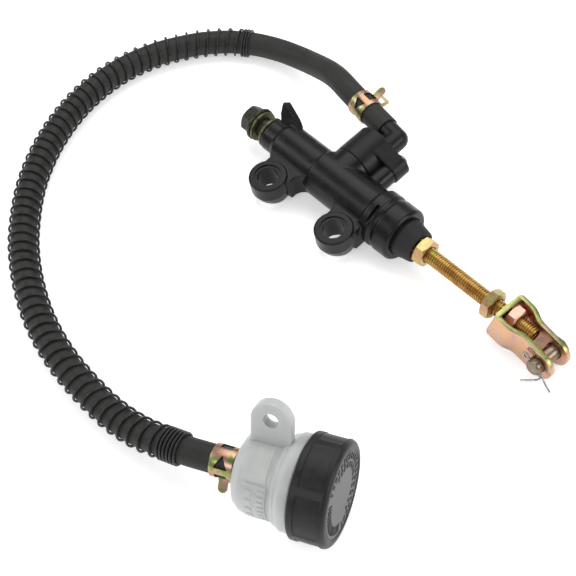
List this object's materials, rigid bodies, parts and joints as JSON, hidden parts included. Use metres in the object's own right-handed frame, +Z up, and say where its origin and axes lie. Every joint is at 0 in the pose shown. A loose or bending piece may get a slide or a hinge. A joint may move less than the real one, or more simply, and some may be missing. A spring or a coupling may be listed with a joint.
{
  "type": "brake master cylinder",
  "caption": "Rear brake master cylinder with lugs, banjo bolt and inlet elbow, push rod and clevis, joined by a guarded hose to a round fluid reservoir with a screw cap.",
  "frame": {"origin": "on the surface it lies on, below the middle of the cylinder, clevis and reservoir without the hose", "axes": "+X along the bore from the banjo bolt to the clevis, +Y from the mounting lugs to the fluid inlet, +Z up"},
  "size_m": [0.2976, 0.2307, 0.0595],
  "materials": {
    "body_black": "satin black paint on cast aluminium",
    "bolt_black": "black-olive oxide",
    "washer_olive": "dull olive-brass edges",
    "moulded_black": "satin moulded",
    "rubber_black": "matte",
    "hose_rubber": "matte",
    "bright_steel": "bright zinc",
    "yellow_zinc": "iridescent yellow zinc plating",
    "piston_aluminium": "turned",
    "guard_wire": "black coated spring wire",
    "milky_plastic": "translucent milky white, moulded"
  },
  "bodies": {
    "cylinder": {"cylinder_body": "body_black", "banjo_bolt": "bolt_black", "banjo_washer_outer": "washer_olive", "banjo_washer_inner": "washer_olive", "inlet_elbow": "moulded_black", "elbow_o_ring": "rubber_black", "elbow_screw": "bright_steel", "return_spring": "bright_steel", "pushrod_washer": "yellow_zinc", "circlip": "bright_steel", "dust_boot": "rubber_black", "reservoir_body": "milky_plastic", "hose": "hose_rubber", "hose_end_upper": "hose_rubber", "hose_end_lower": "hose_rubber", "spring_guard": "guard_wire", "hose_clamp_upper": "yellow_zinc", "hose_clamp_lower": "yellow_zinc"},
    "piston": {"piston": "piston_aluminium", "primary_cup": "rubber_black", "secondary_cup": "rubber_black"},
    "pushrod": {"pushrod": "yellow_zinc", "boot_nut": "yellow_zinc", "lock_nut": "yellow_zinc"},
    "clevis_swivel": {"clevis_nut": "yellow_zinc"},
    "clevis": {"clevis": "yellow_zinc"},
    "clevis_pin": {"clevis_pin": "yellow_zinc", "cotter_pin": "bright_steel"},
    "cap_lift": {"diaphragm": "rubber_black", "diaphragm_plate": "moulded_black"},
    "cap": {"reservoir_cap": "moulded_black"}
  },
  "joints": [
    {"name": "piston_slide", "type": "slide", "parent": "cylinder", "child": "piston", "axis": [-1, 0, 0], "range_m": [0, 0.0075], "stiffness_N_per_m": 1200, "springref_m": -0.005, "deforming": ["return_spring", "dust_boot"]},
    {"name": "pushrod_tilt", "type": "hinge", "parent": "piston", "child": "pushrod", "pos_m": [-0.009, 0.0559, 0.0142], "axis": [0, 0, 1], "range_deg": [-3, 3], "deforming": ["dust_boot"]},
    {"name": "clevis_spin", "type": "hinge", "parent": "pushrod", "child": "clevis_swivel", "pos_m": [0.0778, 0.0559, 0.0142], "axis": [1, 0, 0], "continuous": true},
    {"name": "clevis_tilt", "type": "hinge", "parent": "clevis_swivel", "child": "clevis", "pos_m": [0.0705, 0.0559, 0.0142], "axis": [0, 1, 0], "range_deg": [-25, 0]},
    {"name": "clevis_pin_spin", "type": "hinge", "parent": "clevis", "child": "clevis_pin", "pos_m": [0.09824, 0.0559, 0.00764], "axis": [0, 1, 0], "continuous": true},
    {"name": "cap_rise", "type": "slide", "parent": "cylinder", "child": "cap_lift", "axis": [0.8939, 0.436, 0.1045], "range_m": [0, 0.006]},
    {"name": "cap_turn", "type": "hinge", "parent": "cap_lift", "child": "cap", "pos_m": [0.08578, -0.07271, 0.02336], "axis": [0.8939, 0.436, 0.1045], "range_deg": [0, 721]}
  ],
  "couplings": [
    {"joint": "cap_turn", "follows": "cap_rise", "rad_per_m": 2094.4}
  ]
}
